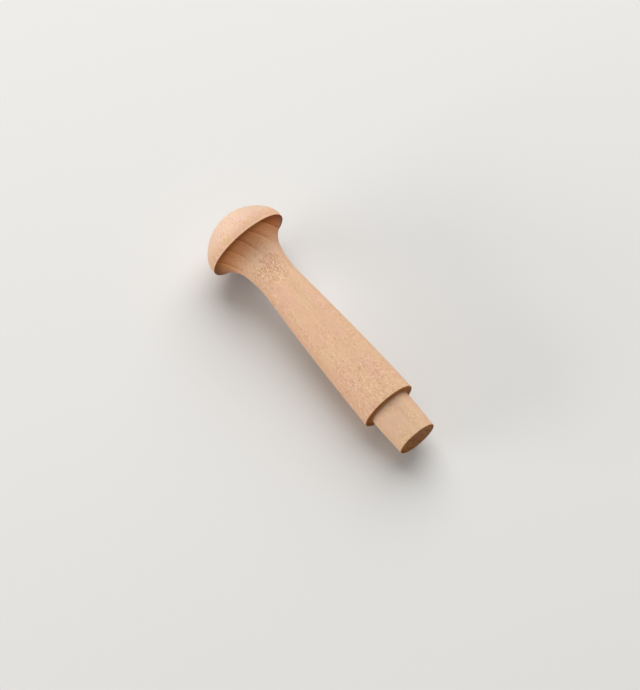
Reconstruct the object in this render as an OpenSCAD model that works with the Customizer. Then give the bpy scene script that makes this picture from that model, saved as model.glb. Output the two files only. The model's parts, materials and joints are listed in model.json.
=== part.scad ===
// Shaker peg, turned from one piece of pale hardwood, for a peg rail.
//
// It has a domed head, a cove under the head that runs down into a slender
// neck, a shaft that swells to a square shoulder, and a short round tenon
// that is pressed into a hole in the rail. It lies on the ground plane as it
// comes to rest, on the rim of its head and the edge of its shoulder, with
// the tenon pointing along +X.

/* [Head] */
// Diameter of the head at its rim
head_d = 25.4; // [21:0.1:32]
// Height of the head, from the rim's lower corner to the top of the dome
head_h = 10.4; // [8.5:0.1:14]
// Height of the straight band round the rim
rim_band_h = 0.9; // [0.6:0.1:2]
// Radius of the dome's side, where it turns over from the band
dome_side_r = 5.8; // [3:0.1:6]
// Radius that softens the rim's lower corner
rim_edge_r = 0.2; // [0.1:0.1:0.6]
// Radius of the cove under the head
cove_r = 9.5; // [7:0.5:12]

/* [Shaft] */
// Length of the shaft, from the shoulder to the rim's lower corner
shaft_len = 63.5; // [50:0.1:90]
// Diameter of the neck, the shaft's thinnest place
neck_d = 11.8; // [10:0.1:14]
// Distance from the rim's lower corner down to the neck
neck_drop = 14.1; // [12:0.1:17]
// Radius of the long hollow that leads from the shaft through the neck
hollow_r = 35; // [28:1:45]
// Diameter of the shoulder, where the shaft is widest
shoulder_d = 17; // [15.5:0.1:19]
// Radius of the slight swelling between the shoulder and the hollow
belly_r = 920; // [500:10:1200]
// Radius that softens the shoulder's outer corner
shoulder_edge_r = 0.2; // [0.1:0.1:1]

/* [Tenon] */
// Diameter of the tenon beside the shoulder, where it fills the rail's hole
tenon_d = 12.7; // [9:0.1:14]
// Length of the tenon
tenon_len = 12.7; // [9:0.1:25]
// Length of the tenon's parallel part, beside the shoulder
tenon_land = 4.5; // [2:0.1:6]
// Diameter of the tenon at its tapered end
tenon_tip_d = 12.2; // [8:0.1:14]
// Width of the broken edge round the tenon's end
tenon_chamfer = 0.2; // [0.1:0.1:1]

/* [Hidden] */
$fn = 180;
belly_fn = 1440; // the belly's circle is so wide that it takes more sides
hair = 0.002; // arcs that run into each other overlap by this, so they meet
wood_colour = [0.87, 0.73, 0.60];

head_r = head_d / 2;
neck_r = neck_d / 2;
shoulder_r = shoulder_d / 2;
tenon_r = tenon_d / 2;
tip_r = tenon_tip_d / 2;

// Point at one distance from a and another from b, on the left (side 1) or
// the right (side -1) of the line that runs from a to b
function meeting(a, from_a, b, from_b, side) =
    let (gap = norm(b - a),
         along = (b - a) / gap,
         across = [-along.y, along.x],
         reach = (from_a^2 - from_b^2 + gap^2) / (2 * gap))
    a + reach * along + side * sqrt(from_a^2 - reach^2) * across;

// Point at a distance from a, on the line that runs from a through b
function towards(a, b, distance) = a + distance * (b - a) / norm(b - a);

// The half-section is drawn with x as the distance from the peg's axis and y
// as the height above the shoulder. Each arc has a centre, a radius and the
// place where it runs into the next one without a corner.

// The hollow is centred level with the neck. The cove lies against its inside
// and aims at the rim's corner. The belly rests against its outside and aims
// at the shoulder's corner.
hollow_c = [neck_r + hollow_r, shaft_len - neck_drop];
cove_c = meeting([head_r, shaft_len], cove_r, hollow_c, hollow_r - cove_r + hair, -1);
belly_c = meeting([shoulder_r, 0], belly_r, hollow_c, belly_r + hollow_r - hair, 1);
belly_meets_hollow = towards(hollow_c, belly_c, hollow_r);
hollow_meets_cove = towards(hollow_c, cove_c, hollow_r);

// Softened corner between the shoulder's flat face and the belly
shoulder_edge_reach = belly_r - shoulder_edge_r + hair;
shoulder_edge_c = [
    belly_c.x + sqrt(shoulder_edge_reach^2 - (shoulder_edge_r - belly_c.y)^2),
    shoulder_edge_r
];
edge_meets_belly = towards(belly_c, shoulder_edge_c, belly_r);

// Softened corner between the cove and the straight band round the rim
rim_edge_reach = cove_r + rim_edge_r - hair;
rim_edge_x = head_r - rim_edge_r;
rim_edge_c = [
    rim_edge_x,
    cove_c.y + sqrt(rim_edge_reach^2 - (cove_c.x - rim_edge_x)^2)
];
cove_meets_edge = towards(cove_c, rim_edge_c, cove_r);

// The dome rises from the band on its side arc, and closes on a crown arc
// that is centred on the peg's axis
side_c = [head_r - dome_side_r, shaft_len + rim_band_h];
dome_h = head_h - rim_band_h;
side_reach = dome_side_r - hair;
crown_r = (side_c.x^2 + dome_h^2 - side_reach^2) / (2 * (dome_h - side_reach));
crown_top = shaft_len + head_h;
crown_c = [0, crown_top - crown_r];
side_meets_crown = towards(crown_c, side_c, crown_r);

// The peg's axis leans down towards the tenon, so that the rim's corner and
// the shoulder's corner touch the ground together
rest_line = rim_edge_c - shoulder_edge_c;
lean = atan2(rest_line.x, rest_line.y)
    + asin((rim_edge_r - shoulder_edge_r) / norm(rest_line));
shoulder_lift = shoulder_edge_r + shoulder_edge_c.x * cos(lean)
    - shoulder_edge_c.y * sin(lean);

// The middle of the peg's length over the ground is at the origin
head_reach = crown_r + crown_c.y * cos(lean);
tenon_reach = tenon_len * cos(lean) + (tip_r - tenon_chamfer) * sin(lean);
shoulder_x = (head_reach - tenon_reach) / 2;

// A round of the half-section, about its centre
module disc(centre, radius, sides = $fn) {
    translate(centre) circle(radius, $fn = sides);
}

// A slab of the half-section, from the axis out to a width, low to high
module slab(width, low, high) {
    translate([0, low]) square([width, high - low]);
}

// Tenon: parallel beside the shoulder, then tapered, with a broken edge
module tenon_section() {
    polygon([
        [0, -tenon_len],
        [tip_r - tenon_chamfer, -tenon_len],
        [tip_r, tenon_chamfer - tenon_len],
        [tenon_r, -tenon_land],
        [tenon_r, shoulder_edge_r],
        [0, shoulder_edge_r]
    ]);
}

// Shaft: the shoulder's corner, the belly, then the neck and the cove, which
// are hollowed out of a plain slab
module shaft_section() {
    slab(shoulder_edge_c.x, 0, 2 * shoulder_edge_r);
    disc(shoulder_edge_c, shoulder_edge_r);
    intersection() {
        disc(belly_c, belly_r, belly_fn);
        slab(shoulder_r, edge_meets_belly.y, hollow_c.y);
    }
    difference() {
        slab(cove_meets_edge.x, belly_meets_hollow.y, side_c.y);
        intersection() {
            disc(hollow_c, hollow_r);
            slab(head_r, 0, hollow_meets_cove.y);
        }
        disc(cove_c, cove_r);
    }
}

// Head: the rim's corner, the band, then the dome's side and its crown
module head_section() {
    disc(rim_edge_c, rim_edge_r);
    slab(head_r, rim_edge_c.y, side_c.y);
    intersection() {
        disc(side_c, dome_side_r);
        slab(head_r, rim_edge_c.y, crown_top);
    }
    slab(side_c.x, rim_edge_c.y, side_c.y + dome_side_r);
    intersection() {
        disc(crown_c, crown_r);
        slab(head_r, side_meets_crown.y, crown_top + hair);
    }
}

// The whole peg, turned about its own axis and then laid down
module peg() {
    color(wood_colour)
        translate([shoulder_x, 0, shoulder_lift])
            rotate([0, lean - 90, 0])
                rotate_extrude() {
                    tenon_section();
                    shaft_section();
                    head_section();
                }
}

peg();
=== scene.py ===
import json
import math

import bmesh
import bpy
from mathutils import Matrix, Vector


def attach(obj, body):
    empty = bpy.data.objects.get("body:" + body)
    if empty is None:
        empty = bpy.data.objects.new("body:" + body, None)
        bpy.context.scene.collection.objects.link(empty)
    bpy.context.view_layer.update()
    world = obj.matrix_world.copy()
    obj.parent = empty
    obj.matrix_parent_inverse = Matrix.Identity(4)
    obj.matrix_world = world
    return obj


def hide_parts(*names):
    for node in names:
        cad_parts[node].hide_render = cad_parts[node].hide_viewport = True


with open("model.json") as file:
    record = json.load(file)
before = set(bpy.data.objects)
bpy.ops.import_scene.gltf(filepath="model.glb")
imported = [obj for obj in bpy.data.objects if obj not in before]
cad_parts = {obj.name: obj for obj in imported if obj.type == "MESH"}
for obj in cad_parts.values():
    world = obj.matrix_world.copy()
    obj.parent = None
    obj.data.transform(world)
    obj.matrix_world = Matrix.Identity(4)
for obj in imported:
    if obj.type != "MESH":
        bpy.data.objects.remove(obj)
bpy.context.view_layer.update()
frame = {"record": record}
scene = bpy.context.scene
scene.view_settings.view_transform = "Standard"


# The camera stands high over the tenon's end and looks down the peg towards
# its head. It is level from side to side, and far enough away to see the
# turned ends as nearly round.

MM = 0.001
camera_target = Vector((2.9505, -2.8589, 8.0613)) * MM
camera_distance = 1.2085
camera_azimuth = math.radians(-39.383)
camera_elevation = math.radians(65.353)
camera_lens = 220.31
film_width = 36
nearest_seen = 0.05
furthest_seen = 20


def stand_facing(thing, target, azimuth, elevation, distance):
    """Stands a camera or lamp at a distance from a target, turned to face it."""
    back_from_target = Vector((
        math.cos(elevation) * math.cos(azimuth),
        math.cos(elevation) * math.sin(azimuth),
        math.sin(elevation),
    ))
    thing.location = target + distance * back_from_target
    thing.rotation_euler = back_from_target.to_track_quat("Z", "Y").to_euler()


camera_data = bpy.data.cameras.new("camera")
camera_data.sensor_width = film_width
camera_data.lens = camera_lens
camera_data.clip_start = nearest_seen
camera_data.clip_end = furthest_seen
camera = bpy.data.objects.new("camera", camera_data)
scene.collection.objects.link(camera)
stand_facing(camera, camera_target, camera_azimuth, camera_elevation, camera_distance)
scene.camera = camera


# The floor is one wide, pale, matt board. It looks pale to the camera and in
# gloss, and throws a darker, browner light back up at the peg, as a bench does.

floor_half = 3.0
floor_colour = (0.80, 0.79, 0.77, 1)
bench_bounce = (0.16, 0.10, 0.06, 1)


def seen_in_view(nodes, links):
    """1 where the camera looks, straight, in gloss or through glass, and 0 for bounced light."""
    rays = nodes.new("ShaderNodeLightPath")
    share = rays.outputs["Is Camera Ray"]
    for kind in ("Is Glossy Ray", "Is Transmission Ray"):
        either = nodes.new("ShaderNodeMath")
        either.operation = "MAXIMUM"
        links.new(share, either.inputs[0])
        links.new(rays.outputs[kind], either.inputs[1])
        share = either.outputs[0]
    return share


bm = bmesh.new()
bmesh.ops.create_grid(bm, x_segments=1, y_segments=1, size=floor_half)
floor_mesh = bpy.data.meshes.new("floor")
bm.to_mesh(floor_mesh)
bm.free()
floor = bpy.data.objects.new("floor", floor_mesh)
scene.collection.objects.link(floor)

floor_paint = bpy.data.materials.new("pale_floor")
floor_paint.use_nodes = True
floor_nodes, floor_links = floor_paint.node_tree.nodes, floor_paint.node_tree.links
floor_shader = floor_nodes["Principled BSDF"]
floor_shader.inputs["Roughness"].default_value = 0.9
floor_shader.inputs["Specular IOR Level"].default_value = 0.2
floor_tone = floor_nodes.new("ShaderNodeMix")
floor_tone.data_type = "RGBA"
floor_tone.inputs["A"].default_value = bench_bounce
floor_tone.inputs["B"].default_value = floor_colour
floor_links.new(seen_in_view(floor_nodes, floor_links), floor_tone.inputs["Factor"])
floor_links.new(floor_tone.outputs["Result"], floor_shader.inputs["Base Color"])
floor_mesh.materials.append(floor_paint)


# A broad round lamp hangs behind the peg like a window, and a low upright
# screen lights the shaft from the other side, beside the floor. The room's own
# light is dim on the wood, and looks pale to the camera and in gloss.

window_size = (2.0, 2.0)
window_radiance = 3.03
window_azimuth = math.radians(135)
window_elevation = math.radians(45)
window_distance = 1.5
screen_size = (0.84, 0.42)
screen_radiance = 10.1
screen_azimuth = math.radians(-114)
screen_distance = 1.2
screen_elevation = math.atan(screen_size[1] / 2 / screen_distance)
room_colour = floor_colour
room_light = 0.25


def hang_lamp(name, shape, size, radiance, azimuth, elevation, distance):
    """A flat lamp of a known brightness, turned to face the middle of the floor."""
    data = bpy.data.lights.new(name, "AREA")
    data.shape = shape
    data.size, data.size_y = size
    area = size[0] * size[1] * (math.pi / 4 if shape == "DISK" else 1)
    data.energy = radiance * math.pi * area
    lamp = bpy.data.objects.new(name, data)
    scene.collection.objects.link(lamp)
    stand_facing(lamp, Vector(), azimuth, elevation, distance)
    lamp.visible_camera = False


hang_lamp("window", "DISK", window_size, window_radiance,
          window_azimuth, window_elevation, window_distance)
hang_lamp("screen", "RECTANGLE", screen_size, screen_radiance,
          screen_azimuth, screen_elevation, screen_distance)

room = bpy.data.worlds.new("room")
scene.world = room
room.use_nodes = True
room_nodes, room_links = room.node_tree.nodes, room.node_tree.links
air = room_nodes["Background"]
air.inputs["Color"].default_value = room_colour
room_strength = room_nodes.new("ShaderNodeMath")
room_strength.operation = "MAXIMUM"
room_strength.inputs[1].default_value = room_light
room_links.new(seen_in_view(room_nodes, room_links), room_strength.inputs[0])
room_links.new(room_strength.outputs[0], air.inputs["Strength"])


# The peg is turned from one stick of pale hardwood. Its outline is followed
# from the tenon's end to the top of the head, as the tool goes, and is then
# spun about the peg's own axis, which is Z here with the shoulder at zero.

head_r = 12.7 * MM
rim_height = 63.5 * MM
rim_band = 0.9 * MM
rim_edge = 0.2 * MM
head_height = 10.4 * MM
dome_side = 5.8 * MM
cove = 9.5 * MM
neck_r = 5.9 * MM
neck_height = 49.4 * MM
hollow = 35 * MM
belly = 920 * MM
shoulder_r = 8.5 * MM
shoulder_edge = 0.2 * MM
tenon_r = 6.35 * MM
tenon_tip_r = 6.1 * MM
tenon_land = 4.5 * MM
tenon_length = 12.7 * MM
tenon_edge = 0.2 * MM
turns = 288
weld_gap = 0.001 * MM
sharp_corner = math.radians(25)

# The record places the tenon by the middle of its parallel land, and gives the
# way it points. The peg leans down that way as it lies on the floor
tenon = next(mount for mount in frame["record"]["mounts"] if mount["name"] == "tenon")
tenon_way = Vector(tenon["axis"])
shoulder_place = Vector(tenon["pos_m"]) - tenon_land / 2 * tenon_way
lean = math.asin(-tenon_way.z)


def meeting(a, from_a, b, from_b, side):
    """The point at two distances from two centres, left (1) or right (-1) of a to b."""
    gap = b - a
    reach = (from_a ** 2 - from_b ** 2 + gap.length_squared) / (2 * gap.length)
    along = gap.normalized()
    across = Vector((-along.y, along.x))
    return a + reach * along + side * math.sqrt(from_a ** 2 - reach ** 2) * across


def towards(a, b, distance):
    """The point at a distance from a, on the line that runs from a through b."""
    return a + distance * (b - a).normalized()


# The hollow is centred level with the neck. The cove lies against its inside
# and aims at the rim's corner. The belly rests against its outside and aims at
# the shoulder's corner
hollow_centre = Vector((neck_r + hollow, neck_height))
cove_centre = meeting(Vector((head_r, rim_height)), cove, hollow_centre, hollow - cove, -1)
belly_centre = meeting(Vector((shoulder_r, 0)), belly, hollow_centre, belly + hollow, 1)
belly_end = towards(hollow_centre, belly_centre, hollow)
hollow_end = towards(hollow_centre, cove_centre, hollow)

# A small round softens the corner between the shoulder's face and the belly
shoulder_edge_reach = belly - shoulder_edge
shoulder_edge_centre = Vector((0, shoulder_edge))
shoulder_edge_centre.x = belly_centre.x + math.sqrt(
    shoulder_edge_reach ** 2 - (shoulder_edge - belly_centre.y) ** 2)
shoulder_edge_end = towards(belly_centre, shoulder_edge_centre, belly)

# Another softens the corner between the cove and the straight band of the rim
rim_edge_reach = cove + rim_edge
rim_edge_centre = Vector((head_r - rim_edge, 0))
rim_edge_centre.y = cove_centre.y + math.sqrt(
    rim_edge_reach ** 2 - (cove_centre.x - rim_edge_centre.x) ** 2)
cove_end = towards(cove_centre, rim_edge_centre, cove)

# The dome turns over on its side round, and closes on a crown that is centred
# on the peg's axis
dome_side_centre = Vector((head_r - dome_side, rim_height + rim_band))
dome_height = head_height - rim_band
crown = (dome_side_centre.x ** 2 + dome_height ** 2 - dome_side ** 2) / (
    2 * (dome_height - dome_side))
crown_centre = Vector((0, rim_height + head_height - crown))
dome_side_end = towards(crown_centre, dome_side_centre, crown)


def cut_to(bm, tool, x, z, steps):
    """A straight cut from where the tool is to a point, in a few equal steps."""
    start = tool.co.copy()
    for step in range(steps):
        tool = bmesh.ops.extrude_vert_indiv(bm, verts=[tool])["verts"][0]
        tool.co = start.lerp(Vector((x, 0, z)), (step + 1) / steps)
    return tool


def sweep_to(bm, tool, centre, end, steps):
    """A round cut about a centre, from where the tool is to the end's direction."""
    start = Vector((tool.co.x, tool.co.z)) - centre
    made = bmesh.ops.spin(
        bm, geom=[tool], cent=(centre.x, 0, centre.y), axis=(0, 1, 0),
        dvec=(0, 0, 0), angle=start.angle_signed(end - centre), steps=steps,
        use_merge=False, use_normal_flip=False, use_duplicate=False)
    return next(item for item in made["geom_last"] if isinstance(item, bmesh.types.BMVert))


bm = bmesh.new()
tool = bm.verts.new((0, 0, -tenon_length))
tool = cut_to(bm, tool, tenon_tip_r - tenon_edge, -tenon_length, steps=10)
tool = cut_to(bm, tool, tenon_tip_r, tenon_edge - tenon_length, steps=3)
tool = cut_to(bm, tool, tenon_r, -tenon_land, steps=12)
tool = cut_to(bm, tool, tenon_r, 0, steps=8)
tool = cut_to(bm, tool, shoulder_edge_centre.x, 0, steps=4)
tool = sweep_to(bm, tool, shoulder_edge_centre, shoulder_edge_end, steps=8)
tool = sweep_to(bm, tool, belly_centre, belly_end, steps=56)
tool = sweep_to(bm, tool, hollow_centre, hollow_end, steps=16)
tool = sweep_to(bm, tool, cove_centre, cove_end, steps=28)
tool = sweep_to(bm, tool, rim_edge_centre, rim_edge_centre + Vector((1, 0)), steps=8)
tool = cut_to(bm, tool, head_r, dome_side_centre.y, steps=2)
tool = sweep_to(bm, tool, dome_side_centre, dome_side_end, steps=16)
tool = sweep_to(bm, tool, crown_centre, crown_centre + Vector((0, 1)), steps=20)
tool.co.x = 0
bmesh.ops.spin(
    bm, geom=bm.verts[:] + bm.edges[:], cent=(0, 0, 0), axis=(0, 0, 1),
    dvec=(0, 0, 0), angle=math.tau, steps=turns, use_merge=True,
    use_normal_flip=False, use_duplicate=False)
bmesh.ops.remove_doubles(bm, verts=bm.verts[:], dist=weld_gap)
bmesh.ops.recalc_face_normals(bm, faces=bm.faces[:])
for face in bm.faces:
    face.smooth = True
for edge in bm.edges:
    edge.smooth = edge.calc_face_angle(0) < sharp_corner
bmesh.ops.rotate(bm, verts=bm.verts[:], cent=(0, 0, 0),
                 matrix=Matrix.Rotation(lean - math.pi / 2, 3, "Y"))
bmesh.ops.translate(bm, verts=bm.verts[:], vec=shoulder_place)
peg_mesh = bpy.data.meshes.new("turned_peg")
bm.to_mesh(peg_mesh)
bm.free()
peg = bpy.data.objects.new("turned_peg", peg_mesh)
scene.collection.objects.link(peg)

# The wood is a pale, close-grained hardwood, sanded and left bare. Its rings
# and fibres run along the peg. The cuts that face the tenon cross the fibres,
# so they stay open and brown, and the growth rings show there as fine lines.

sanding_dust = (1.0, 0.92, 0.84, 1)

wood = bpy.data.materials.new("pale_hardwood")
wood.use_nodes = True
wood_nodes, wood_links = wood.node_tree.nodes, wood.node_tree.links
wood_shader = wood_nodes["Principled BSDF"]
wood_shader.inputs["Specular IOR Level"].default_value = 0.10
wood_shader.inputs["Sheen Weight"].default_value = 0.12
wood_shader.inputs["Sheen Roughness"].default_value = 0.4
wood_shader.inputs["Sheen Tint"].default_value = sanding_dust


def plug(socket, value):
    """Links a socket to another node's, or sets it to a plain value."""
    if isinstance(value, bpy.types.NodeSocket):
        wood_links.new(value, socket)
    else:
        socket.default_value = value


def sum_of(kind, a, b=0.0):
    """One sum on numbers, such as ADD or POWER."""
    made = wood_nodes.new("ShaderNodeMath")
    made.operation = kind
    plug(made.inputs[0], a)
    plug(made.inputs[1], b)
    return made.outputs[0]


def times(a, b):
    """Two numbers multiplied, so that a share holds only where both do."""
    return sum_of("MULTIPLY", a, b)


def gap_between(a, b):
    """How far apart two numbers are, whichever is larger."""
    return sum_of("ABSOLUTE", sum_of("SUBTRACT", a, b))


def fade(value, start, end, least=0.0, most=1.0):
    """A soft step from least to most, as the value goes from start to end."""
    made = wood_nodes.new("ShaderNodeMapRange")
    made.interpolation_type = "SMOOTHSTEP"
    for name, number in (("Value", value), ("From Min", start), ("From Max", end),
                         ("To Min", least), ("To Max", most)):
        plug(made.inputs[name], number)
    return made.outputs["Result"]


def stain(share, base, colour, kind="MULTIPLY"):
    """Tints a base by a colour, as far as the share says, or with MIX turns it into the colour."""
    made = wood_nodes.new("ShaderNodeMix")
    made.data_type = "RGBA"
    made.blend_type = kind
    plug(made.inputs["Factor"], share)
    plug(made.inputs["A"], base)
    plug(made.inputs["B"], colour)
    return made.outputs["Result"]


def mottle(across, along, detail=2.0, roughness=0.5, distortion=0.0, shift=(0, 0, 0)):
    """Uneven spots from 0 to 1, so many millimetres in size across and along the grain."""
    place = wood_nodes.new("ShaderNodeMapping")
    wood_links.new(in_peg, place.inputs["Vector"])
    place.inputs["Location"].default_value = shift
    place.inputs["Scale"].default_value = (1 / across, 1 / across, 1 / along)
    made = wood_nodes.new("ShaderNodeTexNoise")
    wood_links.new(place.outputs["Vector"], made.inputs["Vector"])
    made.inputs["Scale"].default_value = 1.0
    made.inputs["Detail"].default_value = detail
    made.inputs["Roughness"].default_value = roughness
    made.inputs["Distortion"].default_value = distortion
    return made.outputs["Fac"]


def out_from(up, side):
    """Distance from a line along the grain, so far up and to the side of the peg's axis."""
    place = wood_nodes.new("ShaderNodeMapping")
    wood_links.new(in_peg, place.inputs["Vector"])
    place.inputs["Location"].default_value = (-up, -side, 0)
    place.inputs["Scale"].default_value = (1, 1, 0)
    length = wood_nodes.new("ShaderNodeVectorMath")
    length.operation = "LENGTH"
    wood_links.new(place.outputs["Vector"], length.inputs[0])
    return length.outputs["Value"]


# Places in the wood are in millimetres from the middle of the shoulder, with Z
# up the peg's axis towards the head
surface = wood_nodes.new("ShaderNodeTexCoord")
peg_frame = wood_nodes.new("ShaderNodeMapping")
peg_frame.vector_type = "TEXTURE"
wood_links.new(surface.outputs["Object"], peg_frame.inputs["Vector"])
peg_frame.inputs["Location"].default_value = shoulder_place
peg_frame.inputs["Rotation"].default_value = (0, lean - math.pi / 2, 0)
peg_frame.inputs["Scale"].default_value = (MM, MM, MM)
in_peg = peg_frame.outputs["Vector"]
places = wood_nodes.new("ShaderNodeSeparateXYZ")
wood_links.new(in_peg, places.inputs["Vector"])
height = places.outputs["Z"]
from_axis = out_from(0, 0)

# How squarely the surface faces along the grain, towards the tenon or the head
facing = wood_nodes.new("ShaderNodeVectorMath")
facing.operation = "DOT_PRODUCT"
wood_links.new(surface.outputs["Normal"], facing.inputs[0])
facing.inputs[1].default_value = tenon_way
to_tenon = fade(facing.outputs["Value"], 0.18, 0.95)
to_head = fade(facing.outputs["Value"], -0.10, -0.60)

# Soft patches of pinker and yellower wood, a little cooler on the dome
cream_wood = (0.765, 0.500, 0.312, 1)
pink_wood = (0.762, 0.470, 0.324, 1)
dome_tint = (0.93, 1.02, 1.13, 1)
patches = mottle(across=3.6, along=8, roughness=0.55, shift=(3.1, 0.4, 0.2))
colour = stain(fade(patches, 0.32, 0.68), cream_wood, pink_wood, "MIX")
colour = stain(to_head, colour, dome_tint)

# The tenon is left as it comes from the tool, a little paler
tenon_tint = (1.01, 1.05, 1.05, 1)
colour = stain(fade(height, 0.2, -0.2), colour, tenon_tint)

# Fibres: fine streaks along the grain, and dots where it is cut across
fibre_shade = (0.93, 0.90, 0.87, 1)
fibre_light = (1.05, 1.06, 1.07, 1)
streak_tint = (0.93, 0.90, 0.87, 1)
fibres = mottle(across=0.32, along=5, roughness=0.6)
streaks = mottle(across=1.3, along=30, roughness=0.55, distortion=0.3)
colour = stain(fade(fibres, 0.50, 0.78, most=0.7), colour, fibre_shade)
colour = stain(fade(fibres, 0.50, 0.24, most=0.7), colour, fibre_light)
colour = stain(fade(streaks, 0.50, 0.75, most=0.4), colour, streak_tint)

# Growth rings about a pith outside the peg, narrower further out. Each starts
# with a fine pale line and a dark edge, and shows best where the cut crosses
# it. On the cuts that face the tenon, shade is painted in two places: near the
# pith's side, low and towards -y under the rim, where little light gets in,
# and beyond one ring on the far side, up and towards +y, where the head and
# the neck keep the lamps off.
pith = (-13.6, -24.8)
ring_wander = 1.6
ring_narrowing = 2.5
ring_growth = 1586
pith_side_shade_end = 23.5
pith_side_shade_fade = 5.7
far_side_shade_ring = 37.6
far_side_shade_fade = 0.5
ring_line = (1.28, 1.42, 1.56, 1)
ring_shade = (0.80, 0.72, 0.64, 1)
painted_pith_side_shade = (0.70, 0.72, 0.74, 1)
painted_far_side_shade = (0.80, 0.60, 0.40, 1)
wander = sum_of("SUBTRACT", mottle(across=9, along=60, detail=1.0), 0.5)
from_pith = sum_of("ADD", out_from(*pith), times(wander, ring_wander))
grown = sum_of("SUBTRACT", sum_of("POWER", from_pith, ring_narrowing),
               far_side_shade_ring ** ring_narrowing)
ring_place = sum_of("FRACT", sum_of("DIVIDE", grown, ring_growth))
clear_places = mottle(across=3.5, along=12, detail=1.0, shift=(2, 5, 1))
ring_strength = times(fade(to_tenon, 0.0, 0.6, least=0.06),
                      fade(clear_places, 0.34, 0.60, least=0.40))
dark_edges = times(fade(ring_place, 0.42, 0.04), ring_strength)
pale_lines = times(fade(gap_between(ring_place, 0.5), 0.44, 0.485), ring_strength)
in_pith_side_shade = fade(from_pith, pith_side_shade_end, pith_side_shade_end - pith_side_shade_fade)
in_far_side_shade = fade(from_pith, far_side_shade_ring, far_side_shade_ring + far_side_shade_fade)
colour = stain(dark_edges, colour, ring_shade)
colour = stain(pale_lines, colour, ring_line)
# Painted shade: darker under the rim on the pith's side, low and towards -y
colour = stain(times(in_pith_side_shade, to_tenon), colour, painted_pith_side_shade)
# Painted shade: darker beyond one ring on the far side, up and towards +y
colour = stain(times(in_far_side_shade, to_tenon), colour, painted_far_side_shade)

# Open end grain drinks the light and looks browner, most of all where it was
# parted off, on the tenon's end and the shoulder
cut_grain = (1.20, 0.81, 0.50, 1)
sawn_grain = (0.67, 0.64, 0.385, 1)
parted = times(to_tenon, fade(height, 2.0, 1.0))
colour = stain(to_tenon, colour, cut_grain)
colour = stain(parted, colour, sawn_grain)

# Painted shade: the cove's outermost edge, just inside the rim, is darkened where the rim
# overhangs it
cove_shade_start = 10.1
cove_shade_end = 12.5
painted_cove_shade = (0.64, 0.52, 0.38, 1)
in_cove_shade = times(fade(from_axis, cove_shade_start, cove_shade_end), to_tenon)
colour = stain(in_cove_shade, colour, painted_cove_shade)

# Fine round marks of the parting tool on the tenon's end and the shoulder
tool_mark_start = 4.9
tool_mark_gap = 1.9
tool_mark_wobble = 0.3
tool_mark_light = (1.20, 1.25, 1.30, 1)
tool_mark_shade = (0.84, 0.80, 0.76, 1)
wobble = times(mottle(across=2.5, along=60, detail=1.0), tool_mark_wobble)
mark_place = sum_of("ADD", sum_of("SUBTRACT", from_axis, tool_mark_start), wobble)
tool_marks = sum_of("COSINE", times(mark_place, math.tau / tool_mark_gap))
colour = stain(times(fade(tool_marks, 0.2, 1.0), parted), colour, tool_mark_light)
colour = stain(times(fade(tool_marks, -0.2, -1.0), parted), colour, tool_mark_shade)

# Painted highlight: a thin paler band along the rim's edge, where its round corner catches the
# light
rim_highlight_height = rim_height / MM + 0.3
rim_painted_highlight = (1.07, 1.08, 1.08, 1)
near_rim = fade(gap_between(height, rim_highlight_height), 0.7, 0.1)
colour = stain(times(near_rim, sum_of("SUBTRACT", 1.0, to_tenon)), colour, rim_painted_highlight)

# Flecks: short curly dashes, faint all over, thicker on the shaft near the
# shoulder, and thickest in a patch on the neck
fleck_patch = (4.6, -1.3, 52.0)
fleck_patch_reach = 8.5
fleck_patch_heart = 2.0
fleck_dark = (0.75, 0.55, 0.38, 1)
fleck_pale = (1.20, 1.33, 1.42, 1)
flecks = mottle(across=0.48, along=0.85, distortion=1.2)
from_patch = wood_nodes.new("ShaderNodeVectorMath")
from_patch.operation = "DISTANCE"
wood_links.new(in_peg, from_patch.inputs[0])
from_patch.inputs[1].default_value = fleck_patch
in_patch = fade(from_patch.outputs["Value"], fleck_patch_reach, fleck_patch_heart)
near_shoulder = times(fade(height, 26, 10, most=0.55), fade(height, -0.2, 0.5))
thick_places = mottle(across=4, along=9, detail=1.0, shift=(7, 1, 3))
elsewhere = fade(thick_places, 0.40, 0.65, least=0.14, most=0.48)
fleck_share = sum_of("MAXIMUM", in_patch, sum_of("MAXIMUM", near_shoulder, elsewhere))
colour = stain(times(fade(flecks, 0.51, 0.66), fleck_share), colour, fleck_dark)
colour = stain(times(fade(flecks, 0.47, 0.33), fleck_share), colour, fleck_pale)
wood_links.new(colour, wood_shader.inputs["Base Color"])

# Bare sanded wood has a dull sheen, and its pores and fibres barely stand proud
grain_relief = 0.018 * MM
fleck_relief = 0.4
wood_links.new(fade(fibres, 0.3, 0.7, least=0.50, most=0.66), wood_shader.inputs["Roughness"])
relief = wood_nodes.new("ShaderNodeBump")
relief.inputs["Distance"].default_value = grain_relief
relief.inputs["Strength"].default_value = 1.0
wood_links.new(sum_of("ADD", fibres, times(flecks, fleck_relief)), relief.inputs["Height"])
wood_links.new(relief.outputs["Normal"], wood_shader.inputs["Normal"])
peg_mesh.materials.append(wood)

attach(peg, "root")
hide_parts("peg")

bpy.context.view_layer.update()
